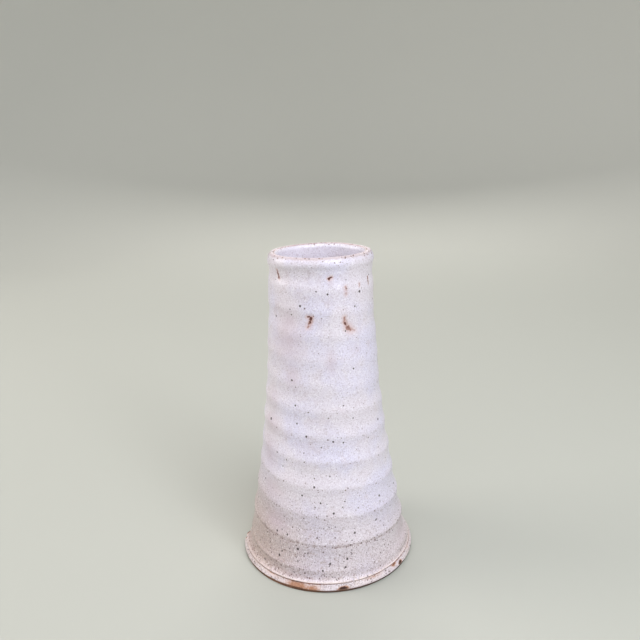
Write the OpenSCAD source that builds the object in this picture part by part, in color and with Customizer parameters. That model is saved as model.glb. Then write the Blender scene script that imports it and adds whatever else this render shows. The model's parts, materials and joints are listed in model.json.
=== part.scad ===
// Ceramic bud vase: a wheel-thrown stoneware cone luted onto a flat base slab,
// with a white glaze outside, a liner glaze inside and a bare foot.
// Millimetres, +Z up. The origin is on the ground, under the vase's axis.

/* [Overall] */
// Height from the ground to the top of the lip
height = 160; // [150:1:175]
// Radius of the slab's edge, which is the widest place
foot_r = 45.9; // [45.4:0.1:47]
// Thickness of the glaze coats
glaze_t = 0.5; // [0.3:0.05:0.6]

/* [Wall] */
// Outer radius of the wall where it leaves the foot
wall_foot_r = 42.7; // [42:0.1:43]
// Radius that the lower half of the flare is drawn towards
flare_low_r = 31.8; // [30:0.2:35]
// Radius that the upper half of the flare is drawn towards
flare_high_r = 26; // [25.5:0.1:28]
// Outer radius of the neck under the lip
neck_r = 25.5; // [25:0.1:26]
// Thickness of the wall at the foot, glaze included
wall_foot_t = 6.5; // [5:0.5:8]

/* [Throwing rings] */
// Depth of the grooves between the rings, near the foot
ring_depth = 0.7; // [0:0.05:1]
// Depth of the fainter grooves at the neck
neck_ring_depth = 0.3; // [0:0.05:0.6]
// Distance from the lowest ring to the next
ring_pitch = 13.9; // [12.5:0.1:16]
// How much less each following distance is
pitch_drop = 0.32; // [0:0.02:0.4]
// Height of the lowest full ring
first_ring_z = 22; // [18:0.5:26]

/* [Mouth] */
// Radius of the mouth's throat
mouth_r = 21.3; // [20.6:0.1:21.6]
// Radius of the rolled lip's rounding
lip_round = 2.35; // [2.1:0.05:2.5]
// Height of the straight throat under the lip
throat_h = 8; // [4:0.5:10]
// Height over which the lip swells out of the neck
lip_blend = 5.5; // [4:0.5:8]

/* [Foot] */
// Thickness of the base slab
slab_t = 4; // [3.6:0.1:4.5]
// Thickness of the slip that joins the wall to the slab
seam_t = 0.25; // [0.2:0.05:0.4]
// How far the slip line lies back from the bead above it
seam_recess = 0.6; // [0.4:0.1:0.8]
// Radius of the wall's bead, just above the slip line
bead_r = 44.2; // [43.8:0.1:44.6]
// Rounding of that bead's underside
bead_round = 0.9; // [0.7:0.1:1.1]
// Height over which the bead runs out into the wall
cove_h = 3.6; // [3:0.2:5]
// Radius of the ring that the vase stands on
contact_r = 44.3; // [43.6:0.1:44.8]
// Width of that ring
contact_w = 8; // [5:0.5:14]
// How far the underside's middle is pressed up
hollow = 0.8; // [0.4:0.1:1.2]
// Rounding of the inside corner between wall and floor
floor_round = 5; // [3:0.5:7]

/* [Hidden] */
$fn = 96;

clay_colour = [0.50, 0.33, 0.22];
slip_colour = [0.43, 0.25, 0.16];
glaze_colour = [0.88, 0.86, 0.88];
liner_colour = [0.84, 0.84, 0.89];

wall_z = slab_t + seam_t;               // underside of the wall
bead_z = wall_z + bead_round;           // height where the bead is widest
lip_z = height - lip_round;             // height where the lip is widest
lip_out_r = mouth_r + 2 * lip_round;    // outer radius of the lip
throat_z = lip_z - throat_h;            // lower end of the straight throat
floor_z = slab_t + glaze_t;             // inside floor
mean_sine = 2 / PI;                     // a half sine wave's mean height
outer_step = 1.5;                       // spacing of the outer outline's points
inner_step = 4;                         // the same for the plainer inside
arc_step = 15;                          // degrees between the points of a rounding

shoulder_r = bead_r + 0.5;              // slab's edge at its top
shoulder_round = 0.8;
edge_round = 0.7;                       // rounding of the slab's edge where it is widest
edge_z = 1.7;                           // height where it is widest
hollow_rise = 6;                        // width over which the underside rises to its hollow

// Cubic Bezier through four values, at t from 0 to 1.
function bezier(p, t) =
    p[0] * pow(1 - t, 3) + 3 * p[1] * pow(1 - t, 2) * t
        + 3 * p[2] * (1 - t) * pow(t, 2) + p[3] * pow(t, 3);

// Eases from 0 to 1 as x goes from 0 to 1.
function ease(x) = let (c = min(max(x, 0), 1)) c * c * (3 - 2 * c);

function mix(a, b, t) = a + (b - a) * t;

// Points of an arc about c from angle a to angle b, both ends included.
function arc(c, r, a, b) =
    let (n = max(1, ceil(abs(b - a) / arc_step)))
    [for (i = [0 : n]) let (q = mix(a, b, i / n)) [c[0] + r * cos(q), c[1] + r * sin(q)]];

// Points spread evenly between two heights, both left out.
function between(a, b, step) =
    let (n = max(2, round(abs(b - a) / step)))
    [for (i = [1 : n - 1]) mix(a, b, i / n)];

// The wall's plain curve, without its rings.
function flare(z) =
    bezier([wall_foot_r, flare_low_r, flare_high_r, neck_r], (z - wall_z) / (lip_z - wall_z));

// Number of rings from the lowest one up to a height, where the distances shrink evenly.
function rings_below(z) =
    let (rise = z - first_ring_z)
    pitch_drop == 0 ? rise / ring_pitch
        : (ring_pitch - sqrt(pow(ring_pitch, 2) - 2 * pitch_drop * rise)) / pitch_drop;

// Sharp ridges with round grooves between them, as a finger leaves them. Their mean is zero.
function ring(z) =
    mix(ring_depth, neck_ring_depth, ease(z / height)) * (mean_sine - abs(sin(180 * rings_below(z))));

// Outer radius of the glazed wall, with the bead at its foot and the swelling under its lip.
function wall_r(z) =
    let (
        bead = 1 - ease((z - bead_z) / cove_h),
        lip = ease((z - lip_z + lip_blend) / lip_blend)
    )
    flare(z) + ring(z) * (1 - bead) * (1 - lip)
        + (bead_r - flare(bead_z)) * bead
        + (lip_out_r - flare(lip_z)) * lip;

// Radius of the inside, which tapers from the throat to the thicker wall at the foot.
function inner_r(z) =
    flare(z) - mix(flare(throat_z) - mouth_r, wall_foot_t, (throat_z - z) / (throat_z - floor_z));

// The glazed outline from under the bead, up the outside, to the top of the lip.
outside = concat(
    arc([bead_r - bead_round, bead_z], bead_round, -90, -arc_step),
    [[bead_r, bead_z]],
    [for (z = between(bead_z, bead_z + cove_h, 0.4)) [wall_r(z), z]],
    [for (z = between(bead_z + cove_h, lip_z - lip_blend, outer_step)) [wall_r(z), z]],
    [for (z = between(lip_z - lip_blend, lip_z, 0.8)) [wall_r(z), z]],
    arc([lip_out_r - lip_round, lip_z], lip_round, 0, 90)
);

// It goes on from there over the lip, down the throat and the inside, and round to the floor.
corner_z = floor_z + floor_round;
inside = concat(
    arc([lip_out_r - lip_round, lip_z], lip_round, 90 + arc_step, 180),
    [[mouth_r, throat_z]],
    [for (z = between(throat_z, corner_z, inner_step)) [inner_r(z), z]],
    arc([inner_r(corner_z) - floor_round, corner_z], floor_round, 0, -90)
);

// The slab's edge, from the end of its glaze up to the slip line.
slab_edge = concat(
    arc([foot_r - edge_round, edge_z], edge_round, -50, 35),
    arc([shoulder_r - shoulder_round, slab_t - shoulder_round], shoulder_round, 25, 90)
);

// A path moved to its left by d, which is into the clay for every path here.
function inset(path, d) = [
    for (i = [0 : len(path) - 1])
        let (
            a = path[max(i - 1, 0)],
            b = path[min(i + 1, len(path) - 1)],
            along = (b - a) / norm(b - a)
        )
        path[i] + d * [-along[1], along[0]]
];

function reversed(path) = [for (i = [len(path) - 1 : -1 : 0]) path[i]];
function part_of(path, from, to) = [for (i = [from : to]) path[i]];

skin = concat(outside, inside);
clay = inset(skin, glaze_t);
crest = len(outside) - 1;               // the outer coat ends here and the liner begins

// Inside the vase the clay's outline stops where it meets the top of the slip.
clay_inside = [for (p = part_of(clay, crest, len(clay) - 1)) if (p[1] > wall_z + 0.05) p];
toe_r = clay_inside[len(clay_inside) - 1][0];
seam_out_r = bead_r - seam_recess;

module base_slab() {
    contact_in_r = contact_r - contact_w;
    clay_edge = inset(slab_edge, glaze_t);
    color(clay_colour)
        rotate_extrude()
            polygon(concat(
                [[0, hollow], [contact_in_r - hollow_rise, hollow], [contact_in_r, 0], [contact_r, 0]],
                [slab_edge[0]],
                clay_edge,
                [slab_edge[len(slab_edge) - 1], [0, slab_t]]
            ));
}

module slip_seam() {
    color(slip_colour)
        rotate_extrude()
            polygon([[toe_r, slab_t], [seam_out_r, slab_t], [seam_out_r, wall_z], [toe_r, wall_z]]);
}

module thrown_wall() {
    color(clay_colour)
        rotate_extrude()
            polygon(concat(
                [outside[0]],
                part_of(clay, 0, crest - 1),
                clay_inside,
                [[toe_r, wall_z]]
            ));
}

module outer_glaze() {
    color(glaze_colour)
        rotate_extrude()
            polygon(concat(outside, reversed(part_of(clay, 0, crest))));
}

module foot_glaze() {
    color(glaze_colour)
        rotate_extrude()
            polygon(concat(slab_edge, reversed(inset(slab_edge, glaze_t))));
}

module liner_glaze() {
    color(liner_colour)
        rotate_extrude()
            polygon(concat(
                [skin[crest]],
                inside,
                [[0, floor_z], [0, slab_t], [toe_r, slab_t], [toe_r, wall_z]],
                reversed(clay_inside)
            ));
}

base_slab();
slip_seam();
thrown_wall();
outer_glaze();
foot_glaze();
liner_glaze();
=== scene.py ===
"""Looks of a wheel-thrown ceramic bud vase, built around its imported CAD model.

Every surface of the vase is a path in the radius-height plane, in millimetres. A path is turned
round the vase's axis and is then shaped by the same hand marks: the throwing spiral, the slow
wobble of the wall, the uneven lip. The clay lies under the glaze by the glaze's own thickness.
Angles round the axis are 0 at the front and grow to the right. Tables give them in degrees, and
arrays of points hold them in radians.
"""

import json
from math import pi, radians

import bpy
import numpy as np
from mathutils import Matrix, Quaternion, Vector, noise


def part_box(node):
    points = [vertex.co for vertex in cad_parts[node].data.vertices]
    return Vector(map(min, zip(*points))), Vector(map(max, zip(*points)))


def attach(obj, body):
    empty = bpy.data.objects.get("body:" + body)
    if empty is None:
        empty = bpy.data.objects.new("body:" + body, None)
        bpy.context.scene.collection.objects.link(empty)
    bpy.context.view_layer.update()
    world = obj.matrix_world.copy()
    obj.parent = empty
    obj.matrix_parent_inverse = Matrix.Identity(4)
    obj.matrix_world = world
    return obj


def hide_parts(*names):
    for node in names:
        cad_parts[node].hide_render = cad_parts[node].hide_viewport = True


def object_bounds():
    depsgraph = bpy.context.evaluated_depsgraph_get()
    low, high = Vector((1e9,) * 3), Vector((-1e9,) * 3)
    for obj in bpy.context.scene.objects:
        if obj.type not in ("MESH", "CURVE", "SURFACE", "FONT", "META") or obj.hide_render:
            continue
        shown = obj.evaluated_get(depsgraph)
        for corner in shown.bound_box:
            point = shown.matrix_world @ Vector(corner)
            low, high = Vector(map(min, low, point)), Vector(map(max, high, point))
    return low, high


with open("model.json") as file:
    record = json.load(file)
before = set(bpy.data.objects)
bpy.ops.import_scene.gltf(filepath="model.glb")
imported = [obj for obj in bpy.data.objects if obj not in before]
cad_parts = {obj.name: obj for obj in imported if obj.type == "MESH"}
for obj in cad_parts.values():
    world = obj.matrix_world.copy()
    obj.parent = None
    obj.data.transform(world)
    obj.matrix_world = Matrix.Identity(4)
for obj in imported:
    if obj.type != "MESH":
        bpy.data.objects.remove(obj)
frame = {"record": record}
CAD_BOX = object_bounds()

MM = 0.001


def corner_mm(node, end):
    """One corner of a CAD node's box in millimetres: end 0 is the lowest, end 1 the highest."""
    return np.array(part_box(node)[end]) / MM


# ---------------------------------------------------------------- sizes, in millimetres
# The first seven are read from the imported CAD. The rest shape the finer meshes inside its box.
HEIGHT = CAD_BOX[1].z / MM
FOOT_R = CAD_BOX[1].x / MM
BEAD_R = corner_mm("outer_glaze", 1)[0]
SLAB_T = corner_mm("slip_seam", 0)[2]
WALL_Z = corner_mm("slip_seam", 1)[2]
SEAM_R = corner_mm("slip_seam", 1)[0]
MOUTH_R = next(m["dims"]["r_mm"] for m in frame["record"]["mounts"] if m["name"] == "mouth")

GLAZE_T = 0.5
LIP_ROUND = 2.35
LIP_Z = HEIGHT - LIP_ROUND
LIP_R = MOUTH_R + 2 * LIP_ROUND
LIP_DROP = 4.1                        # from the top of the lip down to where it is widest
LIP_RISE = 3.2                        # from there down to the groove under the lip
LIP_GROOVE = 0.42
THROAT_Z = LIP_Z - 8
FLARE = (42.7, 31.8, 26.0, 25.5)      # the wall's plain curve, as a cubic Bezier over its height
WALL_FOOT_T = 6.5
FLOOR_Z = SLAB_T + GLAZE_T
FLOOR_ROUND = 5.0
BEAD_ROUND = 0.45
BEAD_Z = WALL_Z + BEAD_ROUND
BEAD_TOP = (0.5, 0.5)                 # width and height of the bead's round top
COVE = 0.7                            # how quickly the wall runs out of the bead
EDGE_R, EDGE_Z, EDGE_ROUND = FOOT_R - 0.25, 1.7, 0.7    # the slab's edge where it is widest
SHOULDER_ROUND = 0.8
SHOULDER_R = BEAD_R + 0.5
CONTACT_R, CONTACT_W, HOLLOW = 44.2, 8.0, 0.8

TURNS = 240                           # columns of faces round the vase
COLUMNS = np.arange(TURNS) * 2 * pi / TURNS - pi


# ---------------------------------------------------------------- shape
def ease(x):
    """Eases from 0 to 1 as x goes from 0 to 1."""
    x = np.clip(x, 0, 1)
    return x * x * (3 - 2 * x)


def bell(x):
    """1 at x = 0, and close to 0 past 2 on both sides."""
    return np.exp(-x * x)


def turned(angle, middle):
    """Degrees from middle to angle, the short way round. The angle is in radians."""
    return (np.degrees(angle) - middle + 180) % 360 - 180


def wander(angle, height, scale, seed, stretch=1.0):
    """Smooth noise over the vase from about -1 to 1. Scale is in millimetres, stretch is sideways."""
    around = 32 / (scale * stretch)
    flat_angle, flat_height = np.broadcast_arrays(angle, height)
    values = [
        noise.noise(Vector((around * np.sin(a), around * np.cos(a), z / scale + 17.3 * seed)))
        for a, z in zip(flat_angle.ravel(), flat_height.ravel())
    ]
    return 1.6 * np.array(values).reshape(flat_angle.shape)


def flare(z):
    """Outer radius of the wall without any rings."""
    t = (z - WALL_Z) / (LIP_Z - WALL_Z)
    a, b, c, d = FLARE
    return a * (1 - t) ** 3 + 3 * b * (1 - t) ** 2 * t + 3 * c * (1 - t) * t ** 2 + d * t ** 3


# The throwing spiral. Its turns get closer together towards the neck.
FIRST_RING_Z, RING_PITCH, PITCH_DROP = 22.3, 13.9, 0.32


def rings_below(z):
    """How many turns of the spiral lie below a height, at the front."""
    return (RING_PITCH - np.sqrt(RING_PITCH ** 2 - 2 * PITCH_DROP * (z - FIRST_RING_Z))) / PITCH_DROP


def ring_section(softness):
    """One turn's section from crest to crest: round grooves that meet in ridges."""
    p = np.arange(512) / 512
    section = -np.abs(np.sin(pi * p))
    kernel = bell(np.minimum(p, 1 - p) / softness)
    smooth = np.real(np.fft.ifft(np.fft.fft(section) * np.fft.fft(kernel / kernel.sum())))
    smooth -= smooth.mean()
    return smooth / np.ptp(smooth)


SHARP_RING, SOFT_RING = ring_section(0.02), ring_section(0.13)
# Height and depth of the grooves between the spiral's ridges.
RING_DEPTHS = ((24, 0.95), (38, 0.70), (66, 0.72), (92, 0.55), (106, 0.32), (130, 0.22))
# Strength of the brown glaze break and painted shade under the crests, for each turn of the spiral.
CREST_BREAK_AND_SHADE = ((-1, 0.3), (0, 1.2), (1, 0.35), (4, 0.2), (6, 0.0))    # turn of the spiral, strength


def ring(angle, z):
    """Height of the spiral's ridges over the wall's plain curve, and how strong the glaze break and painted
    shade under a crest are there.
    """
    stray = 0.05 * wander(angle, z, 30, 1, stretch=2)
    turn_number = rings_below(z) + angle / (2 * pi) + stray
    phase = turn_number % 1
    spots = np.arange(513) / 512
    sharp = np.interp(phase, spots, np.append(SHARP_RING, SHARP_RING[0]))
    soft = np.interp(phase, spots, np.append(SOFT_RING, SOFT_RING[0]))
    softness = ease((z - 16) / 50)
    depth = np.interp(z, *zip(*RING_DEPTHS)) * (1 + 0.35 * wander(angle, z, 22, 2, stretch=2.5))
    height = depth * (sharp + (soft - sharp) * softness)
    height = height - 0.20 * bell((turn_number * RING_PITCH + 0.6) / 0.45)
    nearest = np.round(turn_number)
    # Just under each crest: partly brown glaze break, partly painted shade where the ridge overhangs.
    crest = bell(((turn_number - nearest) * RING_PITCH + 0.5) / 0.7)
    return height, crest * np.interp(nearest, *zip(*CREST_BREAK_AND_SHADE))


# Fine lines that the finger left: height at the front, depth, half width, middle angle, spread.
# A negative depth is a ridge.
FINE_LINES = (
    (9.6, -0.30, 0.9, -30, 55), (8.2, 0.12, 0.7, -30, 55), (17.6, 0.10, 0.5, 0, 90),
    (15.4, 0.10, 0.4, -10, 70), (29.0, 0.08, 0.6, -30, 60), (46.0, 0.06, 0.5, -10, 60),
    (60.0, 0.09, 0.5, -35, 50), (57.0, 0.08, 0.5, -35, 50), (84.0, 0.05, 0.5, -20, 60),
    (72.0, 0.05, 0.6, 20, 60),
)


def fine_lines(angle, z):
    """Shallow lines that climb half as fast as the spiral."""
    total = 0.0
    for height, depth, half_width, middle, spread in FINE_LINES:
        line_z = height - 0.5 * RING_PITCH * angle / (2 * pi)
        total = total - depth * bell(turned(angle, middle) / spread) * bell((z - line_z) / half_width)
    return total


# Slow bulges and hollows of the whole wall: angle, height, outwards, spread round, spread up.
BULGES = (
    (-80, 151, -0.15, 45, 4), (-78, 131, -0.42, 45, 5), (-80, 118, 0.40, 45, 8),
    (-80, 141, 0.12, 40, 4), (-85, 98, -0.15, 40, 5), (-85, 44, 0.15, 40, 6),
    (-85, 11, -0.80, 45, 4), (-85, 29, -0.15, 35, 4), (85, 153, 0.25, 35, 5),
    (85, 144, 0.30, 40, 7), (88, 129, -0.25, 40, 6), (88, 119, 0.15, 40, 6), (88, 92, -0.42, 40, 9),
    (88, 65, -0.25, 40, 8), (85, 7, 1.10, 35, 2), (85, 34, 0.20, 35, 5), (-28, 131, -0.32, 20, 5),
    (-28, 146, 0.12, 20, 5), (16, 118, 0.18, 7, 28), (-10, 152, -0.15, 30, 3),
    (140, 110, 0.45, 35, 12), (-150, 70, -0.40, 40, 12), (175, 40, 0.35, 35, 9),
)
# Dents and swellings of the lip: angle, outwards, spread round.
LIP_DENTS = ((128, -0.75, 14), (150, 0.45, 20), (75, -0.15, 16), (-85, -0.10, 35), (-140, -0.3, 25))
# Where the foot's edge broke away, at the back on the left: middle, half its spread, depth.
NOTCH_ANGLE, NOTCH_SPREAD, NOTCH_DEPTH = -110, 22, 1.8


def notch(angle):
    """How far the foot is knocked in where its edge broke away."""
    return NOTCH_DEPTH * ease((NOTCH_SPREAD - np.abs(turned(angle, NOTCH_ANGLE))) / 4)


def warp(angle, r, z):
    """What the hand did to the whole thickness of the wall. Returns the new radius and height."""
    free = ease((z - 4.6) / 1.6)
    shift = 0.18 * wander(angle, z, 26, 3, stretch=1.6)
    for middle, height, out, spread, rise in BULGES:
        shift = shift + out * bell(turned(angle, middle) / spread) * bell((z - height) / rise)
    near_lip = ease((z - 142) / 14)
    for middle, out, spread in LIP_DENTS:
        shift = shift + out * bell(turned(angle, middle) / spread) * near_lip
    oval = 0.25 * np.cos(2 * (angle - radians(35))) * ease(z / HEIGHT)
    lip_wave = 0.22 * wander(angle, 0 * z, 40, 4) + 0.18 * np.cos(angle - radians(100))
    thinner = 0.9 * bell(turned(angle, -10) / 40) * bell((z - HEIGHT + 6) / 3)
    knocked = notch(angle) * bell((z - WALL_Z - 0.6) / 1.8) * ease((r - 38) / 3)
    return r + free * (shift + oval) - knocked, z + near_lip * lip_wave + thinner


def arc(centre_r, centre_z, size, start, end, step=9):
    """Points of a round or oval arc from one angle to another. Size is its radius, or two half axes."""
    width, height = size if isinstance(size, tuple) else (size, size)
    count = max(1, int(np.ceil(abs(end - start) / step)))
    q = np.radians(np.linspace(start, end, count + 1))
    return np.stack([centre_r + width * np.cos(q), centre_z + height * np.sin(q)], 1)


def between(low, high, step):
    """Heights spread evenly between two ends, both left out."""
    count = max(2, round(abs(high - low) / step))
    return np.linspace(low, high, count + 1)[1:-1]


def wall_path(step):
    """The glazed outside from the bead's underside to the top of the lip, without its rings."""
    bead = np.concatenate([
        arc(BEAD_R - BEAD_ROUND, BEAD_Z, BEAD_ROUND, -90, -15, 15),
        arc(BEAD_R - BEAD_TOP[0], BEAD_Z, BEAD_TOP, 0, 72),
    ])
    cove_r, cove_z = bead[-1]
    wide_z = HEIGHT - LIP_DROP
    z = np.concatenate([
        between(cove_z, cove_z + 3, 0.3),
        between(cove_z + 3, wide_z - 7, step),
        between(wide_z - 7, wide_z, 0.45),
    ])
    out_of_bead = (cove_r - flare(cove_z)) * np.exp((cove_z - z) / COVE)
    lip = ease((z - wide_z + LIP_RISE) / LIP_RISE)
    groove = LIP_GROOVE * bell((z - wide_z + LIP_RISE + 2.9) / 3.4)
    r = flare(z) + out_of_bead - groove + (LIP_R - flare(LIP_Z)) * lip
    return np.concatenate([
        bead, np.stack([r, z], 1), arc(LIP_R - LIP_ROUND, wide_z, (LIP_ROUND, LIP_DROP), 0, 90, 6),
    ])


def inner_r(z):
    """Radius of the glazed inside below the throat."""
    lip_t = flare(THROAT_Z) - MOUTH_R
    return flare(z) - lip_t - (WALL_FOOT_T - lip_t) * (THROAT_Z - z) / (THROAT_Z - FLOOR_Z)


def inside_path(step):
    """From the top of the lip down the throat and the inside, round to the floor, and to the axis."""
    corner_z = FLOOR_Z + FLOOR_ROUND
    z = between(THROAT_Z, corner_z, step)
    straight = between(LIP_Z, THROAT_Z, step)
    corner_r = inner_r(corner_z) - FLOOR_ROUND
    floor_r = np.linspace(corner_r, 0, 20)[1:]
    return np.concatenate([
        arc(LIP_R - LIP_ROUND, LIP_Z, LIP_ROUND, 90, 180, 6),
        np.stack([0 * straight + MOUTH_R, straight], 1),
        [[MOUTH_R, THROAT_Z]],
        np.stack([inner_r(z), z], 1),
        arc(corner_r, corner_z, FLOOR_ROUND, 0, -90),
        np.stack([floor_r, 0 * floor_r + FLOOR_Z], 1),
    ])


def normals(path):
    """Unit normals of a path, on its right-hand side."""
    along = np.gradient(path, axis=0)
    along /= np.linalg.norm(along, axis=1)[:, None]
    return np.stack([along[:, 1], -along[:, 0]], 1)


# ---------------------------------------------------------------- marks in the glaze
# What lies more than 90 degrees from the front doesn't show in the photograph and is a guess.
# Strokes where the glaze crawled off the clay: angle and height of both ends, half width, strength.
STROKES = (
    (-14, 133, -10.5, 133, 0.50, 0.90), (-11, 132.5, -12, 130, 0.70, 0.85),
    (-12, 130.5, -14.5, 128, 0.65, 0.65), (23.5, 132, 23, 129.5, 0.60, 0.60),
    (23.5, 129.5, 27, 127, 0.60, 0.80), (27, 127, 30.5, 125.5, 1.10, 0.64),
    (29, 126.5, 35, 125, 0.80, 0.34), (8.5, 150.5, 11, 151, 0.45, 1.00),
    (26, 146, 26.5, 144.5, 0.50, 0.50), (26.5, 143, 26.5, 142.5, 0.60, 0.32),
    (44, 146.5, 44, 145.5, 0.40, 0.45), (-49.5, 149.5, -53, 153.5, 0.38, 1.00),
    (60, 148.5, 61, 145, 0.30, 0.80), (160, 140, 165, 137, 0.60, 0.90),
    (-128, 123, -127, 120, 0.50, 0.70), (112, 97, 114, 95, 0.50, 0.60),
    (-10.5, 131.5, -12.5, 128.5, 1.00, 0.28), (24.5, 130, 28, 127.5, 0.90, 0.26),
)
# Pink blushes where the glaze is thin, and grey-pink painted shade in the hollow on the upper left: angle,
# height, spread round, spread up, strength.
BLUSHES_AND_SHADE = (
    (-35, 130, 11, 6, 1.0), (-20, 127, 8, 4, 0.6), (-32, 104, 10, 8, 0.8), (8, 111, 6, 7, 0.8),
    (36, 116, 5, 3, 0.5), (10, 149, 4, 2, 0.8), (26, 144, 4, 3, 0.6), (-12, 130, 4, 4, 0.6),
    (28, 127, 6, 4, 0.6), (-60, 90, 12, 8, 0.5), (-15, 70, 12, 5, 0.3), (-43, 30, 12, 5, 1.0),
    (-60, 62, 14, 9, 0.9), (-58, 77, 14, 6, 0.8), (-50, 45, 12, 5, 0.8), (-38, 122, 22, 14, 0.9),
    (100, 60, 14, 12, 0.7), (-120, 100, 16, 12, 0.7), (170, 85, 14, 10, 0.6), (140, 30, 16, 8, 0.6),
    (74, 14, 14, 6, 1.0),
)
# Where clay shows on the foot: angle, height, half width, half length, strength.
FOOT_PATCHES = (
    (-20, 2.4, 6.5, 1.8, 0.70), (-24, 3.8, 1.0, 0.3, 0.95), (-11, 2.2, 4.5, 1.5, 0.66),
    (-22, 1.4, 7.0, 0.6, 0.78), (8.5, 1.8, 1.9, 0.45, 1.80), (30, 3.6, 6.0, 0.4, 0.50),
    (48, 3.6, 1.8, 0.6, 0.85), (54.5, 2.2, 1.2, 0.65, 1.60), (-89.5, 3.8, 2.2, 1.1, 1.60),
    (70, 3.2, 2.4, 0.5, 0.60), (-58, 3.3, 3.0, 0.4, 0.50), (-40, 3.7, 5.0, 0.3, 0.55),
    (118, 1.8, 2.4, 0.9, 1.50), (-150, 2.9, 4.5, 0.7, 0.75), (172, 1.5, 1.5, 0.8, 1.20),
)
# The largest iron specks: angle, height, radius.
SPOTS = (
    (-22, 138, 0.60), (6.5, 143.5, 0.46), (43.5, 143, 0.60), (-5, 145, 0.32), (-56, 131, 0.42),
    (24, 125.5, 0.40), (31, 107, 0.45), (-32, 102, 0.45), (-28, 90, 0.45), (-60, 79, 0.70),
    (-26, 81, 0.44), (27, 83, 0.35), (18, 90, 0.30), (16, 72, 0.42), (7, 73, 0.46), (42, 71, 0.38),
    (-19, 67, 0.30), (-47, 64, 0.38), (3, 56, 0.34), (-10, 51, 0.48), (-20, 46, 0.52),
    (-5, 43, 0.44), (14, 43, 0.36), (5, 38, 0.48), (39.5, 29, 0.45), (20, 26.5, 0.60),
    (-31, 25, 0.52), (-40.5, 25, 0.50), (-22, 19, 0.66), (-36.5, 13, 0.62), (-50, 7, 0.52),
    (1, 13, 0.54), (13, 14.5, 0.56), (-4, 10, 0.44), (-36, 26.5, 0.32), (-28.5, 18, 0.32),
    (-28, 16.5, 0.30), (-14.5, 17.5, 0.32), (-21.5, 13, 0.32), (-24, 7.5, 0.32), (-5, 7.5, 0.30),
    (-9.5, 13.5, 0.28), (-46.5, 17, 0.32), (-57, 15.5, 0.28), (17.5, 23.5, 0.30), (38, 19, 0.32),
    (43.5, 17.5, 0.34), (56, 18.5, 0.34), (16.5, 16.5, 0.34), (27.5, 15, 0.26), (0.5, 12, 0.28),
    (1, 31, 0.28), (16, 21.5, 0.30), (36.5, 136.5, 0.42), (38.5, 136, 0.24), (-34, 136, 0.28),
    (-32.5, 133.5, 0.30), (36, 116.5, 0.26), (26.5, 145.5, 0.26), (120, 60, 0.60), (-110, 90, 0.50),
    (160, 120, 0.50), (100, 35, 0.60), (-140, 40, 0.60), (170, 22, 0.60),
)
# Chips along the lip: angle, how far inside the very top (negative is outside), radius.
RIM_CHIPS = (
    (-88, 0.7, 0.70), (-73, 0.8, 0.30), (-61, 0.8, 0.28), (-142, 0.9, 0.42), (-117, 0.9, 0.30),
    (-171, 0.7, 0.30), (169, 0.9, 0.40), (145, 0.8, 0.30), (100, 0.7, 0.28), (-12, -0.9, 0.34),
    (40, -0.5, 0.30), (58, -0.6, 0.30),
)


def unrolled(angle, height):
    """A place on the wall as arc length and height."""
    return np.stack([angle * flare(height), height], -1)


def stroke_depth(angle, z):
    """How far the glaze is drawn off the clay round the strokes, from 0 to 1."""
    place = unrolled(*np.broadcast_arrays(angle, z))
    total = np.zeros(place.shape[:-1])
    for start_angle, start_z, end_angle, end_z, half_width, strength in STROKES:
        start, end = unrolled(radians(start_angle), start_z), unrolled(radians(end_angle), end_z)
        share = np.clip((place - start) @ (end - start) / ((end - start) @ (end - start)), 0, 1)
        away = np.linalg.norm(place - start - share[..., None] * (end - start), axis=-1)
        total = np.maximum(total, strength * bell(away / (half_width + 0.6)))
    return total


def patches(angle, z, places, radius):
    """Strength of some oval patches: about 1 in a patch's middle and 0 away from it."""
    total = np.zeros(np.broadcast(angle, z).shape)
    for middle, height, half_width, half_length, strength in places:
        side = np.radians(turned(angle, middle)) * radius / half_width
        total = np.maximum(total, strength * bell(np.hypot(side, (z - height) / half_length) / 1.35))
    return total


# ---------------------------------------------------------------- meshes
def turn(path, lift):
    """Turns a path round the axis after moving it along its normals. Returns radius, height, angle."""
    normal = normals(path)
    angle, path_z = np.meshgrid(COLUMNS, path[:, 1])
    r = path[:, :1] + normal[:, :1] * lift
    z = path_z + normal[:, 1:] * lift
    axis_rows = path[:, 0] < 1e-6
    r[axis_rows] = 0
    r, z = warp(angle, r, z)
    r[axis_rows] = 0
    return r, z, angle


def revolved(name, surfaces, closed, attributes):
    """A mesh object from stacks of rows. Rows on the axis become one point each."""
    r = np.concatenate([s[0] for s in surfaces])
    z = np.concatenate([s[1] for s in surfaces])
    angle = np.concatenate([s[2] for s in surfaces])
    pole = np.all(r < 1e-6, axis=1)
    index, points, kept = [], [], []
    for row in range(len(r)):
        start = len(points)
        columns = [0] if pole[row] else range(TURNS)
        for c in columns:
            a = angle[row, c]
            points.append((r[row, c] * np.sin(a) * MM, -r[row, c] * np.cos(a) * MM, z[row, c] * MM))
            kept.append((row, c))
        index.append([start] * TURNS if pole[row] else list(range(start, start + TURNS)))
    faces = []
    pairs = list(zip(range(len(r) - 1), range(1, len(r))))
    if closed:
        pairs.append((len(r) - 1, 0))
    for low, high in pairs:
        for c in range(TURNS):
            d = (c + 1) % TURNS
            corners = [index[low][c], index[low][d], index[high][d], index[high][c]]
            corners = [v for n, v in enumerate(corners) if v not in corners[:n]]
            if len(corners) > 2:
                faces.append(corners)
    mesh = bpy.data.meshes.new(name)
    mesh.from_pydata(points, [], faces)
    rows_kept, columns_kept = np.array(kept).T
    for attribute, values in attributes.items():
        layer = mesh.attributes.new(attribute, "FLOAT", "POINT")
        layer.data.foreach_set("value", values[rows_kept, columns_kept].astype(np.float32))
    mesh.shade_smooth()
    mesh.set_sharp_from_angle(angle=radians(50))
    piece = bpy.data.objects.new(name, mesh)
    bpy.context.scene.collection.objects.link(piece)
    return piece


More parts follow.
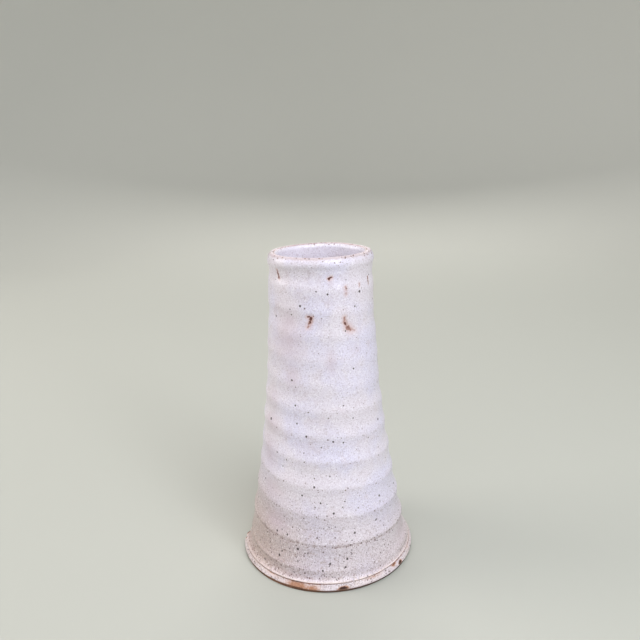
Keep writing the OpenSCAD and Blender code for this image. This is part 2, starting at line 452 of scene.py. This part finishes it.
def finish_piece(piece, node, material):
    """Lets the piece stand for its CAD node, with its finish."""
    piece.data.materials.append(material)
    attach(piece, "root")
    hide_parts(node)


def reversed_rows(surface):
    """The same rows in the opposite order, for the side that faces the other way."""
    return tuple(values[::-1] for values in surface)


# ---------------------------------------------------------------- materials
def linear(*rgb):
    """A colour given as 0-255 screen values, in linear light."""
    c = np.array(rgb) / 255
    return tuple(np.where(c < 0.04045, c / 12.92, ((c + 0.055) / 1.055) ** 2.4)) + (1.0,)


class Shader:
    """A short way to write a material's nodes. Positions are in millimetres."""

    def __init__(self, name):
        self.material = bpy.data.materials.new(name)
        self.material.use_nodes = True
        self.tree = self.material.node_tree
        self.bsdf = self.tree.nodes["Principled BSDF"]
        place = self.tree.nodes.new("ShaderNodeTexCoord").outputs["Object"]
        self.place = self.vector("SCALE", place, scale=1 / MM)
        self.x, self.y, self.height = self.new("ShaderNodeSeparateXYZ", {0: self.place}).outputs

    def new(self, kind, inputs, **settings):
        """Adds a node. Each input is a socket to link or a value to set."""
        node = self.tree.nodes.new(kind)
        for key, value in settings.items():
            setattr(node, key, value)
        for key, value in inputs.items():
            if isinstance(value, bpy.types.NodeSocket):
                self.tree.links.new(value, node.inputs[key])
            else:
                node.inputs[key].default_value = value
        return node

    def vector(self, operation, a, b=None, scale=None):
        inputs = {0: a}
        if b is not None:
            inputs[1] = b
        if scale is not None:
            inputs["Scale"] = scale
        return self.new("ShaderNodeVectorMath", inputs, operation=operation).outputs[0]

    def math(self, operation, a, b=0.0, clamp=False):
        return self.new("ShaderNodeMath", {0: a, 1: b}, operation=operation, use_clamp=clamp).outputs[0]

    def arc_length(self):
        """Length round the wall from the front, in millimetres."""
        angle = self.math("ARCTAN2", self.x, self.math("MULTIPLY", self.y, -1.0))
        flat = self.vector("MULTIPLY", self.place, (1, 1, 0))
        radius = self.new("ShaderNodeVectorMath", {0: flat}, operation="LENGTH").outputs["Value"]
        return self.math("MULTIPLY", angle, radius)

    def step(self, value, low, high):
        """0 below low, 1 above high and smooth between. Low may be the larger one."""
        inputs = {"Value": value, "From Min": low, "From Max": high}
        node = self.new("ShaderNodeMapRange", inputs, interpolation_type="SMOOTHSTEP", clamp=True)
        return node.outputs["Result"]

    def noise(self, size, detail=2.0, stretch=(1, 1, 1), shift=0.0):
        """Smooth noise round 0.5, with grains of about the given size in millimetres."""
        scaled = self.vector("MULTIPLY", self.place, tuple(s / size for s in stretch))
        moved = self.vector("ADD", scaled, (shift, 0.37 * shift, 0.71 * shift))
        return self.new("ShaderNodeTexNoise", {"Vector": moved, "Scale": 1.0, "Detail": detail}).outputs[0]

    def cells(self, size, shift=0.0):
        """Distance to the nearest of some scattered points, in millimetres, and a random value of it."""
        moved = self.vector("ADD", self.vector("SCALE", self.place, scale=1 / size), (shift,) * 3)
        node = self.new("ShaderNodeTexVoronoi", {"Vector": moved, "Scale": 1.0})
        colour = self.new("ShaderNodeSeparateColor", {0: node.outputs["Color"]})
        return self.math("MULTIPLY", node.outputs["Distance"], size), colour.outputs[0]

    def attribute(self, name):
        return self.new("ShaderNodeAttribute", {}, attribute_name=name).outputs["Fac"]

    def mix(self, factor, a, b):
        node = self.new("ShaderNodeMix", {0: factor, 6: a, 7: b}, data_type="RGBA")
        return node.outputs[2]

    def tint(self, base, mask, amount, colour):
        """The base colour with an amount of another colour laid over it where the mask is 1."""
        return self.mix(self.math("MULTIPLY", mask, amount), base, colour)

    def bump(self, height, distance, strength=1.0, normal=None):
        inputs = {"Height": height, "Distance": distance * MM, "Strength": strength}
        if normal is not None:
            inputs["Normal"] = normal
        return self.new("ShaderNodeBump", inputs).outputs[0]

    def set(self, **values):
        """Links or sets the surface shader's own inputs."""
        for key, value in values.items():
            socket = self.bsdf.inputs[key.replace("_", " ").title()]
            if isinstance(value, bpy.types.NodeSocket):
                self.tree.links.new(value, socket)
            else:
                socket.default_value = value


def specks(s, size, radius, amount, shift):
    """Scattered iron specks, from 0 to 1. Amount says how large a share of the points show."""
    distance, chance = s.cells(size, shift)
    ragged = s.math("MULTIPLY", s.math("SUBTRACT", s.noise(0.35, 1.0, shift=shift), 0.5), 0.5 * radius)
    all_of_it = s.math("SUBTRACT", 1.0, s.math("MULTIPLY", amount, 0.6))
    own_radius = s.math("MULTIPLY", s.step(chance, s.math("SUBTRACT", 1.0, amount), all_of_it), radius)
    edge = s.math("SUBTRACT", s.math("ADD", distance, ragged), own_radius)
    return s.step(edge, 0.09, -0.05)


def nearest_spot(s, place, spots):
    """Distance from a place to the edge of the nearest of some round spots, in millimetres."""
    nearest = None
    for x, y, radius in spots:
        away = s.new("ShaderNodeVectorMath", {0: place, 1: (x, y, 0)}, operation="DISTANCE")
        beyond = s.math("SUBTRACT", away.outputs["Value"], radius)
        nearest = beyond if nearest is None else s.math("MINIMUM", nearest, beyond)
    return nearest


def stroke_masks(s, place, ragged):
    """How bare the strokes are, and how pink the glaze is round them."""
    bare, halo = 0.0, 0.0
    for start_angle, start_z, end_angle, end_z, half_width, strength in STROKES:
        start, end = (unrolled(radians(a), z) for a, z in ((start_angle, start_z), (end_angle, end_z)))
        along = (*(end - start), 0)
        from_start = s.vector("SUBTRACT", place, (*start, 0))
        dot = s.new("ShaderNodeVectorMath", {0: from_start, 1: along}, operation="DOT_PRODUCT")
        length2 = float((end - start) @ (end - start))
        share = s.math("DIVIDE", dot.outputs["Value"], length2, clamp=True)
        on_line = s.vector("SCALE", along, scale=share)
        away = s.new("ShaderNodeVectorMath", {0: from_start, 1: on_line}, operation="DISTANCE")
        own_width = s.math("SUBTRACT", half_width, s.math("MULTIPLY", share, 0.6 * half_width))
        edge = s.math("ADD", s.math("SUBTRACT", away.outputs["Value"], own_width), ragged)
        bare = s.math("MAXIMUM", bare, s.math("MULTIPLY", s.step(edge, 0.35, -0.35), strength))
        glow = strength * min(1.0, half_width / 0.6)
        halo = s.math("MAXIMUM", halo, s.math("MULTIPLY", s.step(edge, 0.5 + 2 * half_width, 0.1), glow))
    return bare, halo


def blush_and_shade_mask(s, place):
    """Where the thin glaze looks pink, and the painted shade in the hollow on the upper left, from 0 to 1.
    """
    total = 0.0
    for angle, height, spread, rise, strength in BLUSHES_AND_SHADE:
        radius = float(flare(height))
        size = (1 / (radians(spread) * radius), 1 / rise, 0)
        scaled = s.vector("MULTIPLY", place, size)
        centre = (angle / spread, height / rise, 0)
        away = s.new("ShaderNodeVectorMath", {0: scaled, 1: centre}, operation="DISTANCE")
        tinted_patch = s.math("MULTIPLY", s.step(away.outputs["Value"], 1.5, 0.0), strength)
        total = s.math("MAXIMUM", total, tinted_patch)
    return total


def glaze(name, white, low_white, on_wall, on_rim):
    """A satin white stoneware glaze. It thins over edges to show the clay's colour."""
    s = Shader(name)
    cloud = s.noise(26, 3.0)
    blotch = s.noise(6, 3.0, shift=4)
    grain = s.noise(0.6, 3.0, shift=2)
    fleck = s.noise(2.2, 2.0, shift=12)
    ragged = s.math("SUBTRACT", s.noise(1.0, 3.0, shift=6), 0.5)
    # The beige of the thin glaze near the foot, with painted shade: it reaches higher on the left and is
    # stronger at the left and right sides.
    leaning = s.math("ADD", s.height, s.math("MULTIPLY", s.x, 0.30))
    low = s.step(s.math("ADD", leaning, s.math("MULTIPLY", cloud, 30)), 72, 18)
    side = s.math("ADD", s.step(s.x, 0, -38), s.math("MULTIPLY", s.step(s.x, 14, 40), 0.45))
    side = s.math("ADD", side, s.math("MULTIPLY", s.step(s.x, 32, 46), 0.55))

    # White, which turns beige towards the foot where the glaze is thin. The extra beige at the left and
    # right sides, and its lean up the left side, is painted shade.
    base = s.mix(s.step(cloud, 0.40, 0.62), white, linear(224, 216, 227))
    base = s.tint(base, low, s.math("ADD", s.math("MULTIPLY", side, 0.60), 0.40), low_white)
    base = s.tint(base, s.step(blotch, 0.54, 0.72), 0.30, linear(206, 190, 198))
    # Fine grain, dark and pale, with more of it near the foot.
    pale = s.math("SUBTRACT", 0.55, s.math("MULTIPLY", low, 0.08))
    peppered = s.math("ADD", 0.46, s.math("MULTIPLY", low, 0.42))
    base = s.tint(base, s.step(grain, 0.53, 0.68), peppered, linear(164, 148, 156))
    base = s.tint(base, s.step(grain, 0.47, 0.32), pale, linear(250, 248, 254))
    base = s.tint(base, s.step(fleck, 0.62, 0.74), 0.35, linear(182, 166, 172))
    mottle = s.math("MULTIPLY", s.step(s.noise(1.3, 3.0, shift=17), 0.56, 0.70), low)
    base = s.tint(base, mottle, 0.55, linear(160, 136, 126))

    # Brown glaze break with painted shade just under the ridges and in the cove above the bead, and iron
    # specks of three sizes that crowd there and near the foot.
    crest = s.math("MULTIPLY", s.attribute("crest"), s.step(fleck, 0.30, 0.60))
    base = s.tint(base, crest, 0.42, linear(150, 126, 118))

    crowd = s.math("ADD", s.math("MULTIPLY", low, 0.58), s.math("MULTIPLY", s.attribute("crest"), 0.60))
    dust = specks(s, 1.0, 0.23, s.math("ADD", crowd, 0.05), 3)
    fine = specks(s, 1.9, 0.34, s.math("ADD", crowd, 0.03), 7)
    iron = specks(s, 4.4, 0.55, s.math("ADD", s.math("MULTIPLY", crowd, 0.5), 0.05), 15)
    base = s.tint(base, dust, 0.75, linear(116, 84, 78))
    base = s.tint(base, fine, 0.90, linear(78, 54, 54))
    base = s.tint(base, iron, 0.92, linear(58, 40, 42))
    chain = specks(s, 1.3, 0.38, s.attribute("crest"), 21)
    base = s.tint(base, chain, 0.85, linear(92, 64, 60))

    # Thin glaze over the edges, and the brown lines where the clay shows through. Over the top of the lip
    # the thin-glaze tint is also painted shade, darker than the thin glaze alone.
    thin_glaze_and_shade = s.math("ADD", s.attribute("thin_glaze_and_shade"), s.math("MULTIPLY", ragged, 0.8))
    thin_glaze_and_shade = s.step(thin_glaze_and_shade, 0.30, 0.95)
    base = s.tint(base, thin_glaze_and_shade, 0.80, linear(192, 174, 176))
    line = s.math("ADD", s.attribute("line"), s.math("MULTIPLY", ragged, 1.6))
    line = s.step(line, 0.45, 0.80)
    base = s.tint(base, line, 0.80, linear(150, 110, 100))
    if on_rim:
        rim_specks = specks(s, 1.3, 0.44, s.math("MULTIPLY", s.attribute("thin_glaze_and_shade"), 0.65), 25)
        base = s.tint(base, rim_specks, 0.80, linear(112, 78, 70))

    # The pale bead round the foot: thick glaze is whiter there, and a painted highlight runs along its top,
    # weaker on the left. Bare clay in the chips.
    bead = s.math("MULTIPLY", s.attribute("bead"), s.step(s.noise(1.6, 2.0, shift=19), 0.70, 0.48))
    base = s.tint(base, bead, 0.90, linear(244, 228, 226))
    bare = s.math("ADD", s.attribute("bare"), s.math("MULTIPLY", ragged, 0.5))
    open_clay = s.step(bare, 0.34, 0.64)
    clay = s.mix(s.step(bare, 0.62, 0.85), linear(172, 124, 98), linear(62, 32, 28))
    base = s.tint(base, s.step(bare, 0.14, 0.45), 0.45, linear(212, 180, 170))
    base = s.mix(open_clay, base, clay)

    rough = s.math("ADD", s.math("MULTIPLY", blotch, 0.16), 0.30)
    rough = s.math("ADD", rough, s.math("MULTIPLY", s.math("MAXIMUM", thin_glaze_and_shade, line), 0.15))
    dots = []
    if on_wall:
        place = s.new("ShaderNodeCombineXYZ", {"X": s.arc_length(), "Y": s.height}).outputs[0]
        # Pink where the glaze is thin, and painted shade in the hollow on the upper left.
        base = s.tint(base, blush_and_shade_mask(s, place), 0.50, linear(200, 180, 192))
        stroke, halo = stroke_masks(s, place, s.math("MULTIPLY", ragged, 1.6))
        base = s.tint(base, halo, 0.60, linear(212, 176, 168))
        base = s.mix(s.math("MULTIPLY", stroke, 1.3, clamp=True), base, linear(164, 114, 98))
        base = s.mix(s.step(stroke, 0.50, 0.85), base, linear(86, 44, 40))
        open_clay = s.math("MAXIMUM", open_clay, stroke)
        dots.append(nearest_spot(s, place, [(*unrolled(radians(a), z), r) for a, z, r in SPOTS]))
    if on_rim:
        place = s.new("ShaderNodeCombineXYZ", {"X": s.arc_length(), "Y": s.attribute("across")}).outputs[0]
        crest_r = LIP_R - LIP_ROUND
        dots.append(nearest_spot(s, place, [(radians(a) * crest_r, y, r) for a, y, r in RIM_CHIPS]))
    for away in dots:
        dot = s.step(s.math("ADD", away, s.math("MULTIPLY", ragged, 0.6)), 0.10, -0.10)
        base = s.tint(base, dot, 0.93, linear(54, 36, 38))
        open_clay = s.math("MAXIMUM", open_clay, s.math("MULTIPLY", dot, 0.5))
    rough = s.math("ADD", rough, s.math("MULTIPLY", open_clay, 0.40))

    normal = s.bump(s.noise(2.6, 2.0, shift=5), 0.10, 0.75)
    normal = s.bump(grain, 0.035, 0.9, normal)
    normal = s.bump(s.math("MAXIMUM", dust, s.math("MAXIMUM", fine, iron)), -0.05, 0.8, normal)
    s.set(base_color=base, roughness=rough, normal=normal, coat_weight=0.25, coat_roughness=0.16)
    return s.material


def clay_body(name, pale, dark, ring_size, flank=False):
    """Bare fired stoneware: matt and gritty, with flashing and the fine lines of the wheel."""
    s = Shader(name)
    cloud = s.noise(14, 4.0)
    grit = s.noise(0.5, 3.0, shift=3)
    stretched = s.noise(ring_size, 2.0, stretch=(0.08, 0.08, 1), shift=1)
    base = s.mix(s.step(cloud, 0.35, 0.66), pale, dark)
    base = s.tint(base, s.step(stretched, 0.5, 0.7), 0.25, linear(112, 66, 46))
    base = s.tint(base, s.step(grit, 0.58, 0.70), 0.5, linear(196, 150, 118))
    if flank:
        # Dark bare clay where the foot's edge turns under, with painted contact shade there.
        base = s.tint(base, s.attribute("dark_flank_and_shade"), 0.9, linear(70, 54, 46))
    spots = specks(s, 2.2, 0.5, 0.5, 5)
    base = s.tint(base, spots, 0.85, linear(54, 32, 26))
    rough = s.math("ADD", s.math("MULTIPLY", grit, 0.20), 0.72)
    normal = s.bump(grit, 0.06, 0.9)
    normal = s.bump(stretched, 0.08, 0.5, normal)
    s.set(base_color=base, roughness=rough, normal=normal)
    return s.material


def floor_material():
    """Pale studio paper with painted light: darker near the vase under the lamps, and paler on the far
    wall, where less light falls.
    """
    s = Shader("studio_paper")
    flat = s.vector("MULTIPLY", s.place, (1, 1, 0))
    away = s.new("ShaderNodeVectorMath", {0: flat}, operation="LENGTH").outputs["Value"]
    # Painted light: darker paper near the vase, paler far off.
    base = s.mix(s.step(away, 500, 1900), linear(180, 181, 173), linear(222, 222, 215))
    s.set(base_color=base, roughness=0.9, normal=s.bump(s.noise(1.4, 2.0), 0.02, 0.4))
    return s.material


# ---------------------------------------------------------------- the vase
OUTSIDE = wall_path(0.58)
INSIDE = inside_path(1.5)
TOE_R = 35.3                          # where the wall's inside meets the slip

glaze_white = linear(220, 215, 235)
glaze_low = linear(184, 163, 156)
outer_finish = glaze("white_glaze", glaze_white, glaze_low, on_wall=True, on_rim=True)
foot_finish = glaze("foot_glaze", linear(226, 214, 218), linear(214, 198, 198), False, False)
# The liner's white is paler than the outside glaze, raised as painted light for the inside of the mouth.
lightened_liner_finish = glaze("liner_glaze", linear(230, 225, 238), linear(216, 210, 222), False, on_rim=True)
stoneware = clay_body("bare_stoneware", linear(158, 108, 80), linear(128, 80, 58), 1.1, flank=True)
slip = clay_body("joining_slip", linear(172, 122, 104), linear(146, 94, 76), 0.6)


def grid(path):
    """The angle and height of every point of a turned path, before anything moves it."""
    return np.meshgrid(COLUMNS, path[:, 1])


def thinned(surface, every):
    """One row in a few of a surface, with its first and last."""
    rows = np.unique(np.append(np.arange(0, len(surface[0]), every), len(surface[0]) - 1))
    return tuple(values[rows] for values in surface)


def circle(r, z):
    """One row at a constant radius and height."""
    flat = np.zeros((1, TURNS))
    return flat + r, flat + z, COLUMNS[None, :] + flat


def padded(values, surfaces):
    """Attribute values for the first surface, with zeros for the hidden ones after it."""
    hidden = sum(len(s[0]) for s in surfaces[1:])
    return np.concatenate([np.broadcast_to(values, surfaces[0][0].shape), np.zeros((hidden, TURNS))])


def outer_relief(path):
    """How far the glazed outside stands off its path, and the glaze break and painted shade under the
    spiral's crests.
    """
    angle, z = grid(path)
    groove_z = HEIGHT - LIP_DROP - LIP_RISE
    fade = ease((z - BEAD_Z - 1.2) / 3) * (1 - ease((z - groove_z + 2.5) / 5))
    height, crest = ring(angle, z)
    soft = 0.05 * wander(angle, z, 5, 5, stretch=5) + 0.03 * wander(angle, z, 2.4, 6, stretch=3)
    lumps = 0.10 * wander(angle, z, 6, 7, stretch=1.4) * ease((z - groove_z) / 4)
    to_crest = ease((HEIGHT - z) / 0.5)
    return fade * (height + fine_lines(angle, z)) + (soft + lumps) * to_crest, fade * crest


def inner_relief(path):
    """How far the glazed inside stands off its path: broad finger marks, and a coil on the floor."""
    angle, z = grid(path)
    r = np.broadcast_to(path[:, :1], z.shape)
    wall = ease((z - FLOOR_Z - 4) / 8) * (1 - ease((z - THROAT_Z + 6) / 8))
    fingers = 0.35 * np.sin(2 * pi * z / 11 - angle) * wall
    on_floor = ease(r / 6) * (1 - ease((r - 24) / 6)) * (1 - ease((z - FLOOR_Z) / 3))
    coil = 0.25 * np.cos(2 * pi * r / 7 + angle) * on_floor
    soft = 0.04 * wander(angle, z + 0.4 * r, 6, 8, stretch=3) * ease(r / 6) * ease((HEIGHT - z) / 0.5)
    return fingers + coil + soft


relief, crest = outer_relief(OUTSIDE)
inside_relief = inner_relief(INSIDE)
outside_angle, outside_z = grid(OUTSIDE)
clay_outside = thinned(turn(OUTSIDE, relief - GLAZE_T), 4)
clay_inside = thinned(turn(INSIDE, inside_relief - GLAZE_T), 2)


def across(path, way):
    """How far every row lies from the very top of the lip, times way: 1 for inside, -1 for outside."""
    steps = np.linalg.norm(np.diff(path, axis=0), axis=1)
    top = np.argmin(np.hypot(path[:, 0] - LIP_R + LIP_ROUND, path[:, 1] - HEIGHT))
    along = np.append(0, np.cumsum(steps))
    return np.clip(way * np.abs(along - along[top]), -9, 9)[:, None]


CHIP_ANGLE = -90                      # the dark chip in the bead, at the broken edge's front end

# Glaze outside, from the slip line to the top of the lip.
outside_across = across(OUTSIDE, -1)
bead_thin = 0.5 * bell((outside_z - WALL_Z) / 0.30)
# Painted shade in the cove above the bead, faint on the lit right-front side, and on the left under the low
# ridge just above it. It goes into the crest marks.
bright_side = bell(turned(outside_angle, 45) / 28)
cove_shade = (1 - 0.8 * bright_side) * bell((outside_z - BEAD_Z - 1.3) / 0.6)
cove_shade = cove_shade + 0.5 * bell(turned(outside_angle, -50) / 24) * bell((outside_z - BEAD_Z - 2.0) / 1.2)
ridge_z = 9.0 - 7 * outside_angle / (2 * pi)
cove_shade = cove_shade + 0.4 * bell(turned(outside_angle, -35) / 45) * bell((outside_z - ridge_z) / 0.6)
# Painted highlight along the bead's top, together with the whiter thick glaze there, weaker on the left.
bead_glaze_and_highlight = (1.1 - 0.45 * bell(turned(outside_angle, -50) / 30)) * bell((outside_z - WALL_Z - 0.55) / 0.40)
sunk_relief = relief - 0.30 * stroke_depth(outside_angle, outside_z)
layers = [turn(OUTSIDE, sunk_relief), reversed_rows(clay_outside)]
lip_line = 0.52 * bell((outside_across + 0.2) / 0.45)
slip_line = (1.2 - 0.9 * bell(turned(outside_angle, 20) / 45)) * bell((outside_z - WALL_Z) / 0.2)
chip_side, chip_rise = turned(outside_angle, CHIP_ANGLE) / 2.4, (outside_z - WALL_Z - 1.0) / 1.2
coat = revolved("outer_glaze_coat", layers, True, {
    "crest": padded(crest + cove_shade, layers),
    # On the lip's top the thin-glaze tint is partly painted shade.
    "thin_glaze_and_shade": padded(0.95 * bell((outside_across + 0.8) / 1.7) + bead_thin, layers),
    "line": padded(lip_line + slip_line, layers),
    "bare": padded(1.5 * bell(np.hypot(chip_side, chip_rise)), layers),
    "bead": padded(bead_glaze_and_highlight, layers),
    "across": padded(outside_across, layers),
})
finish_piece(coat, "outer_glaze", outer_finish)

# Glaze inside, from the top of the lip to the middle of the floor.
inside_across = across(INSIDE, 1)
inside_angle = grid(INSIDE)[0]
weak = bell(turned(inside_angle, 10) / 50)
layers = [turn(INSIDE, inside_relief), reversed_rows(clay_inside)]
liner = revolved("liner_glaze_coat", layers, True, {
    "thin_glaze_and_shade": padded(0.90 * bell((inside_across - 0.6) / 1.9), layers),
    "line": padded((0.95 - 0.40 * weak) * bell((inside_across - 0.9) / 0.45), layers),
    "across": padded(inside_across, layers),
})
finish_piece(liner, "liner_glaze", lightened_liner_finish)

# The clay wall between the two coats. Its underside sits on the slip.
above_slip = clay_inside[1][:, 0] > WALL_Z + 0.3
layers = [
    circle(BEAD_R - BEAD_ROUND - notch(COLUMNS), WALL_Z), clay_outside,
    tuple(values[above_slip] for values in clay_inside), circle(TOE_R, WALL_Z),
]
wall = revolved("thrown_clay_wall", layers, True, {})
finish_piece(wall, "thrown_wall", stoneware)

# The slip squeezed out between wall and slab, which is uneven along its edge.
seam_angle = COLUMNS[None, :]
squeeze = SEAM_R + 0.38 - notch(seam_angle) + 0.25 * wander(seam_angle, 0 * seam_angle, 7, 9)
ragged_edge = [
    (squeeze - 0.12, SLAB_T), (squeeze, SLAB_T + 0.06), (squeeze, WALL_Z - 0.06), (squeeze - 0.12, WALL_Z),
]
layers = [circle(TOE_R, SLAB_T)]
layers += [(r, circle(0, z)[1], circle(0, z)[2]) for r, z in ragged_edge]
layers += [circle(TOE_R, WALL_Z)]
seam = revolved("slip_seam_ring", layers, True, {})
finish_piece(seam, "slip_seam", slip)


def slab_edge(lift):
    """The slab's edge from the ragged end of its glaze up to the slip. Lift moves it outwards."""
    angle = COLUMNS[None, :]
    ragged = 14 * wander(angle, 0 * angle, 12, 10) + 8 * wander(angle, 0 * angle, 4, 11)
    start = -26 - 30 * bell(turned(angle, 25) / 40) + ragged
    low = np.radians(start + (35 - start) * np.linspace(0, 1, 12)[:, None])
    high = np.radians(np.linspace(25, 90, 10)[:, None] + 0 * angle)
    wave = 0.10 * wander(angle, 0 * angle, 15, 12)
    wave = wave - 0.50 * bell(turned(angle, -50) / 45) - 0.30 * bell(turned(angle, 30) / 40)
    wave = wave - notch(angle)
    r = np.concatenate([
        EDGE_R - EDGE_ROUND + (EDGE_ROUND + lift) * np.cos(low),
        SHOULDER_R - SHOULDER_ROUND + (SHOULDER_ROUND + lift) * np.cos(high),
    ])
    z = np.concatenate([
        EDGE_Z + (EDGE_ROUND + lift) * np.sin(low),
        SLAB_T - SHOULDER_ROUND + (SHOULDER_ROUND + lift) * np.sin(high),
    ])
    return r + wave, z, angle + 0 * r


# Glaze on the slab's edge, with its chips and bare patches.
glazed_edge, clay_edge = slab_edge(0.0), slab_edge(-GLAZE_T)
bare = patches(glazed_edge[2], glazed_edge[1], FOOT_PATCHES, EDGE_R)
sunk = tuple(g + (c - g) * 0.85 * np.minimum(bare, 1) for g, c in zip(glazed_edge, clay_edge))
layers = [sunk, reversed_rows(clay_edge)]
edge_z, edge_angle = glazed_edge[1], glazed_edge[2]
clean = bell(turned(edge_angle, 20) / 45)
low_line = (1.05 - 0.45 * clean) * bell((edge_z - 1.0) / 0.55)
top_line = (1.3 - clean) * bell((edge_z - SLAB_T) / 0.35)
foot = revolved("foot_glaze_coat", layers, True, {
    "thin_glaze_and_shade": padded(0.6 * bell((edge_z - 2.5) / 0.30) + 0.6 * bell((edge_z - SLAB_T) / 0.3), layers),
    "bare": padded(bare, layers),
    "crest": padded(0.8 * bell((edge_z - 2.5) / 0.35), layers),
    "line": padded(low_line + top_line, layers),
})
finish_piece(foot, "foot_glaze", foot_finish)

# The bare slab: a pressed-up middle with the wheel's lines, the ring it stands on, and its edge.
rise_r = CONTACT_R - CONTACT_W - 6
under_r = np.concatenate([np.linspace(0, rise_r, 46), np.linspace(rise_r, CONTACT_R - CONTACT_W, 9)[1:]])
under_z = HOLLOW * (1 - ease((under_r - rise_r) / 6))
ring_r = np.linspace(CONTACT_R - CONTACT_W, CONTACT_R, 9)[1:]
bevel = arc(CONTACT_R, 0.9, 0.9, -90, -30)[1:]
under = np.concatenate([
    np.stack([under_r, under_z], 1), np.stack([ring_r, 0 * ring_r], 1), bevel,
])
under_angle = grid(under)[0]
lines = 0.12 * np.cos(2 * pi * under[:, :1] / 2.6 + under_angle) * ease(under[:, :1] / 5)
lines = lines * (1 - ease((under[:, :1] - rise_r + 4) / 5))
sole = turn(under, lines)
sole = (sole[0] - notch(sole[2]) * ease((sole[0] - 40) / 4), *sole[1:])
layers = [sole, clay_edge, circle(TOE_R, SLAB_T), circle(0, SLAB_T)]
# Dark clay on the flank under the glaze's edge with painted contact shade, darkest towards the front right.
dark_flank_and_shade = ease((np.concatenate([s[0] for s in layers]) - CONTACT_R + 0.3) / 0.6)
dark_flank_and_shade = dark_flank_and_shade * (0.45 + 0.55 * bell(turned(COLUMNS, 35) / 50))
slab = revolved("base_slab_clay", layers, False, {"dark_flank_and_shade": dark_flank_and_shade})
finish_piece(slab, "base_slab", stoneware)


# ---------------------------------------------------------------- studio
def studio():
    """A pale paper floor that curves up on every side."""
    flat, bend, top = 1.0, 1.2, 2.0    # in metres: the flat's radius, the curve's, the wall's height
    q = np.radians(np.linspace(-90, 0, 25))
    profile = [(0.0, 0.0), (0.15, 0.0), (0.5, 0.0)]
    profile += [(flat + bend * np.cos(a), bend + bend * np.sin(a)) for a in q]
    profile += [(flat + bend, top)]
    count = 96
    around = np.arange(count) * 2 * pi / count
    spots = [(r * np.cos(a), r * np.sin(a), z) for r, z in profile for a in around]
    faces = []
    for row in range(len(profile) - 1):
        low, high = row * count, (row + 1) * count
        for c in range(count):
            d = (c + 1) % count
            faces.append((low + c, low + d, high + d, high + c))
    mesh = bpy.data.meshes.new("studio_floor")
    mesh.from_pydata(spots, [], faces)
    mesh.shade_smooth()
    mesh.materials.append(floor_material())
    floor = bpy.data.objects.new("studio_floor", mesh)
    bpy.context.scene.collection.objects.link(floor)


def softbox(name, azimuth, elevation, distance, size, watts, colour):
    """An area light that faces the vase. Azimuth 0 is in front, and it grows to the right."""
    a, e = radians(azimuth), radians(elevation)
    direction = Vector((np.sin(a) * np.cos(e), -np.cos(a) * np.cos(e), np.sin(e)))
    light = bpy.data.lights.new(name, "AREA")
    light.shape = "RECTANGLE"
    light.size, light.size_y = size
    light.energy = watts
    light.color = colour
    box = bpy.data.objects.new(name, light)
    box.location = direction * distance + Vector((0, 0, HEIGHT * MM / 2))
    box.rotation_mode = "QUATERNION"
    box.rotation_quaternion = direction.to_track_quat("Z", "Y")
    box.visible_camera = False
    bpy.context.scene.collection.objects.link(box)


def wall_wash(name, azimuth, watts):
    """A light above the vase that faces away from it, for the studio's wall."""
    a, down = radians(azimuth), radians(20)
    light = bpy.data.lights.new(name, "AREA")
    light.shape = "RECTANGLE"
    light.size, light.size_y = 1.0, 0.6
    light.energy = watts
    facing = Vector((np.sin(a) * np.cos(down), -np.cos(a) * np.cos(down), -np.sin(down)))
    box = bpy.data.objects.new(name, light)
    box.location = Vector((np.sin(a) * 0.5, -np.cos(a) * 0.5, 1.5))
    box.rotation_mode = "QUATERNION"
    box.rotation_quaternion = (-facing).to_track_quat("Z", "Y")
    box.visible_camera = False
    bpy.context.scene.collection.objects.link(box)


studio()
for number in range(4):
    wall_wash(f"wall_wash_{number}", 90 * number, 4.5)
softbox("key", 27, 57, 1.0, (0.7, 0.7), 7.6, (0.93, 0.955, 1.0))
softbox("window", 38, 22, 1.1, (0.25, 0.60), 2.7, (0.93, 0.95, 1.0))
softbox("left_fill", -97, 26, 1.1, (0.6, 0.8), 5.6, (1.0, 0.95, 0.92))
softbox("overhead", -60, 70, 1.1, (0.9, 0.9), 3.0, (1.0, 0.98, 0.98))
softbox("back_fill", 175, 35, 1.2, (0.9, 0.9), 5.4, (1.0, 0.98, 0.96))

world = bpy.data.worlds.new("studio_air")
world.use_nodes = True
world.node_tree.nodes["Background"].inputs["Color"].default_value = (0.93, 0.95, 1.0, 1.0)
world.node_tree.nodes["Background"].inputs["Strength"].default_value = 0.12
bpy.context.scene.world = world
bpy.context.scene.view_settings.view_transform = "Standard"

# The camera is where the vase's outline puts it: 0.3 m in front and 0.2 m up, tilted down.
camera = bpy.data.objects.new("camera", bpy.data.cameras.new("camera"))
camera.data.sensor_width = 36
camera.data.lens = 34.95
camera.data.clip_start = 0.01
camera.location = (-0.0008, -0.2998, 0.2066)
camera.rotation_mode = "QUATERNION"
tilt, roll = Quaternion((1, 0, 0), radians(90 - 15.30)), Quaternion((0, 0, 1), radians(-1.67))
camera.rotation_quaternion = tilt @ roll
bpy.context.scene.collection.objects.link(camera)
bpy.context.scene.camera = camera

bpy.context.view_layer.update()
